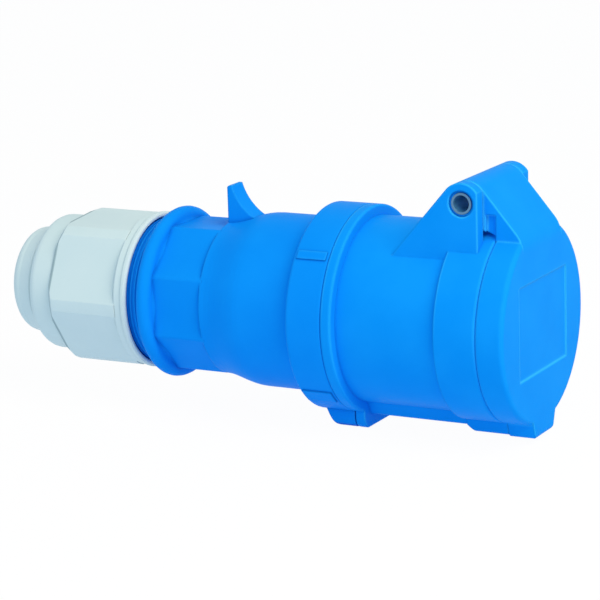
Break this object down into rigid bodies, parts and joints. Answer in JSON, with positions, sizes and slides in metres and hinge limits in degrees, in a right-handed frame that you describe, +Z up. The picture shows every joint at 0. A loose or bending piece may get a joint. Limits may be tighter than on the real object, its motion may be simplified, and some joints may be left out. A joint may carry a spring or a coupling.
{
  "type": "pin and sleeve receptacle",
  "caption": "In-line pin and sleeve power connector with slotted sleeves in a round socket, a spring-closed hinged lid, a two-part housing and a screw-down cable gland.",
  "frame": {"origin": "centre of the socket's rim, where the plug's shroud enters", "axes": "+X along the connector's axis towards the lid, +Z up to the lid's hinge"},
  "size_m": [0.1532, 0.055, 0.0693],
  "materials": {
    "housing_blue": "semi-gloss moulded polyamide",
    "gland_grey": "satin moulded polyamide",
    "carrier_plastic": "satin moulded plastic",
    "seal_rubber": "matt moulded rubber",
    "brass": "turned brass",
    "steel": "bright zinc-plated steel"
  },
  "bodies": {
    "housing": {"front_housing": "housing_blue", "rear_housing": "housing_blue", "housing_seal": "seal_rubber", "hinge_pin": "steel", "lid_spring": "steel", "contact_carrier": "carrier_plastic", "terminal_block": "carrier_plastic", "carrier_screws": "steel", "block_screw": "steel", "line_sleeve": "brass", "neutral_sleeve": "brass", "earth_sleeve": "brass", "line_sleeve_ring": "steel", "neutral_sleeve_ring": "steel", "earth_sleeve_ring": "steel", "line_terminal_screw": "steel", "neutral_terminal_screw": "steel", "earth_terminal_screw": "steel", "clamp_cage": "carrier_plastic", "cable_seal": "seal_rubber"},
    "lid": {"lid": "housing_blue", "lid_seal": "seal_rubber"},
    "gland_thrust": {"thrust_ring": "carrier_plastic"},
    "gland_nut": {"gland_nut": "gland_grey"}
  },
  "joints": [
    {"name": "lid_hinge", "type": "hinge", "parent": "housing", "child": "lid", "pos_m": [-0.0076, 0, 0.033], "axis": [0, -1, 0], "range_deg": [0, 120], "stiffness_Nm_per_rad": 0.05, "springref_deg": -85.94, "deforming": ["lid_spring"]},
    {"name": "gland_travel", "type": "slide", "parent": "housing", "child": "gland_thrust", "axis": [-1, 0, 0], "range_m": [0, 0.0075]},
    {"name": "gland_turn", "type": "hinge", "parent": "gland_thrust", "child": "gland_nut", "pos_m": [-0.12, 0, 0], "axis": [-1, 0, 0], "range_deg": [0, 1080]}
  ],
  "couplings": [
    {"joint": "gland_travel", "follows": "gland_turn", "m_per_rad": 0.00039788}
  ]
}
